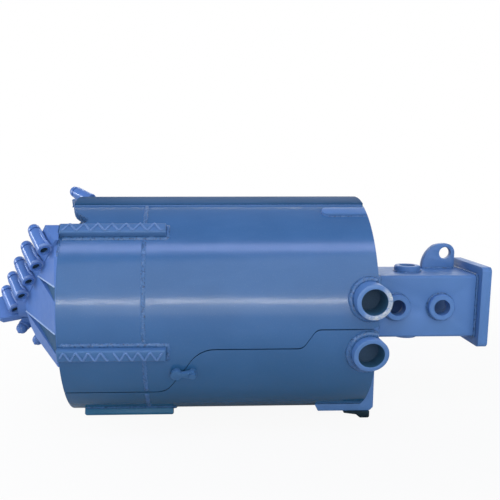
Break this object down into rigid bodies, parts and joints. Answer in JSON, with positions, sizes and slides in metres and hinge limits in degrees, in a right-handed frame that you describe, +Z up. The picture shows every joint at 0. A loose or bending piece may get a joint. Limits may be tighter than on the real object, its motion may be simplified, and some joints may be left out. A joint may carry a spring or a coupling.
{
  "type": "drilling bucket",
  "caption": "Split-shell rock drilling bucket for a rotary rig: square drive head, hinged half shells, toothed cutting head, spoil flaps",
  "frame": {"origin": "centre of the rear drive pin bore, on the axis of the tool", "axes": "+X along the tool axis towards the drive flange, away from the cutting teeth; +Y along the hinge pins and the drive pin; +Z up with the bucket lying on its side"},
  "size_m": [2.1005, 0.976, 0.9315],
  "materials": {
    "blue_paint": "semi-gloss blue enamel over welded plate",
    "dark_paint": "dark dull paint",
    "pin_steel": "dark greased steel",
    "bronze": "plain bronze",
    "tooth_steel": "forged steel under the same blue paint"
  },
  "bodies": {
    "drive_head": {"drive_box": "blue_paint", "pin_bosses": "blue_paint", "drive_flange": "blue_paint", "lifting_lug": "blue_paint", "head_plate": "blue_paint", "cheek_plates": "blue_paint", "head_webs": "blue_paint", "upper_hinge_pin": "pin_steel", "lower_hinge_pin": "pin_steel", "thrust_washers": "bronze", "pin_keepers": "blue_paint", "keeper_bolts": "pin_steel"},
    "upper_shell": {"upper_shell_wall": "blue_paint", "upper_cutting_ring": "blue_paint", "crown_strip": "blue_paint", "upper_pad": "blue_paint", "upper_wear_strips": "blue_paint", "upper_hinge_tubes": "blue_paint", "upper_end_plate": "blue_paint", "head_plates_near": "blue_paint", "head_plates_far": "blue_paint", "arm_bar_near": "blue_paint", "arm_bar_far": "blue_paint", "centre_hub": "blue_paint", "pilot_plate": "blue_paint", "tooth_holders_near": "blue_paint", "tooth_holders_far": "blue_paint", "gauge_holder": "blue_paint", "bottom_plate": "blue_paint", "flap_hinge_lugs": "blue_paint", "flap_hinge_pins": "pin_steel", "dog_seats": "blue_paint"},
    "lower_shell": {"lower_shell_wall": "blue_paint", "lower_cutting_ring": "blue_paint", "lower_end_plate": "blue_paint", "lower_hinge_tubes": "blue_paint", "lower_wear_strips": "blue_paint", "end_brackets": "blue_paint", "bracket_feet": "dark_paint", "dog_pivots": "blue_paint"},
    "dog_near": {"dog_near": "blue_paint"},
    "dog_far": {"dog_far": "blue_paint"},
    "flap_upper": {"flap_upper": "blue_paint"},
    "flap_lower": {"flap_lower": "blue_paint"},
    "tooth_near_1": {"tooth_near_1": "tooth_steel"},
    "tooth_near_2": {"tooth_near_2": "tooth_steel"},
    "tooth_near_3": {"tooth_near_3": "tooth_steel"},
    "tooth_near_4": {"tooth_near_4": "tooth_steel"},
    "tooth_near_5": {"tooth_near_5": "tooth_steel"},
    "tooth_far_1": {"tooth_far_1": "tooth_steel"},
    "tooth_far_2": {"tooth_far_2": "tooth_steel"},
    "tooth_far_3": {"tooth_far_3": "tooth_steel"},
    "tooth_far_4": {"tooth_far_4": "tooth_steel"},
    "gauge_tooth": {"gauge_tooth": "tooth_steel"}
  },
  "joints": [
    {"name": "upper_shell_swing", "type": "hinge", "parent": "drive_head", "child": "upper_shell", "pos_m": [-0.3725, 0, 0.093], "axis": [0, 1, 0], "range_deg": [0, 20]},
    {"name": "lower_shell_swing", "type": "hinge", "parent": "drive_head", "child": "lower_shell", "pos_m": [-0.3725, 0, -0.107], "axis": [0, -1, 0], "range_deg": [0, 20]},
    {"name": "near_dog_turn", "type": "hinge", "parent": "lower_shell", "child": "dog_near", "pos_m": [-1.0235, -0.40102, -0.18107], "axis": [0, -0.9114, -0.4115], "range_deg": [0, 100]},
    {"name": "far_dog_turn", "type": "hinge", "parent": "lower_shell", "child": "dog_far", "pos_m": [-1.0235, 0.40102, -0.18107], "axis": [0, -0.9114, 0.4115], "range_deg": [0, 100]},
    {"name": "upper_flap_swing", "type": "hinge", "parent": "upper_shell", "child": "flap_upper", "pos_m": [-1.4655, 0.14851, 0.17726], "axis": [0, 0.5592, 0.829], "range_deg": [0, 60]},
    {"name": "lower_flap_swing", "type": "hinge", "parent": "upper_shell", "child": "flap_lower", "pos_m": [-1.4655, -0.14851, -0.17726], "axis": [0, -0.5592, -0.829], "range_deg": [0, 60]},
    {"name": "tooth_near_1_spin", "type": "hinge", "parent": "upper_shell", "child": "tooth_near_1", "pos_m": [-1.58766, -0.29509, 0.28778], "axis": [-0.454, 0.6409, 0.6189], "continuous": true},
    {"name": "tooth_near_2_spin", "type": "hinge", "parent": "upper_shell", "child": "tooth_near_2", "pos_m": [-1.63666, -0.22701, 0.21729], "axis": [-0.454, 0.6409, 0.6189], "continuous": true},
    {"name": "tooth_near_3_spin", "type": "hinge", "parent": "upper_shell", "child": "tooth_near_3", "pos_m": [-1.68566, -0.15894, 0.14679], "axis": [-0.454, 0.6409, 0.6189], "continuous": true},
    {"name": "tooth_near_4_spin", "type": "hinge", "parent": "upper_shell", "child": "tooth_near_4", "pos_m": [-1.73466, -0.09086, 0.0763], "axis": [-0.454, 0.6409, 0.6189], "continuous": true},
    {"name": "tooth_near_5_spin", "type": "hinge", "parent": "upper_shell", "child": "tooth_near_5", "pos_m": [-1.78366, -0.02278, 0.0058], "axis": [-0.454, 0.6409, 0.6189], "continuous": true},
    {"name": "tooth_far_1_spin", "type": "hinge", "parent": "upper_shell", "child": "tooth_far_1", "pos_m": [-1.58766, 0.29509, -0.28778], "axis": [-0.454, -0.6409, -0.6189], "continuous": true},
    {"name": "tooth_far_2_spin", "type": "hinge", "parent": "upper_shell", "child": "tooth_far_2", "pos_m": [-1.63666, 0.22701, -0.21729], "axis": [-0.454, -0.6409, -0.6189], "continuous": true},
    {"name": "tooth_far_3_spin", "type": "hinge", "parent": "upper_shell", "child": "tooth_far_3", "pos_m": [-1.68566, 0.15894, -0.14679], "axis": [-0.454, -0.6409, -0.6189], "continuous": true},
    {"name": "tooth_far_4_spin", "type": "hinge", "parent": "upper_shell", "child": "tooth_far_4", "pos_m": [-1.73466, 0.09086, -0.0763], "axis": [-0.454, -0.6409, -0.6189], "continuous": true},
    {"name": "gauge_tooth_spin", "type": "hinge", "parent": "upper_shell", "child": "gauge_tooth", "pos_m": [-1.47811, 0.07859, 0.44306], "axis": [-0.7152, 0.6393, 0.2826], "continuous": true}
  ]
}
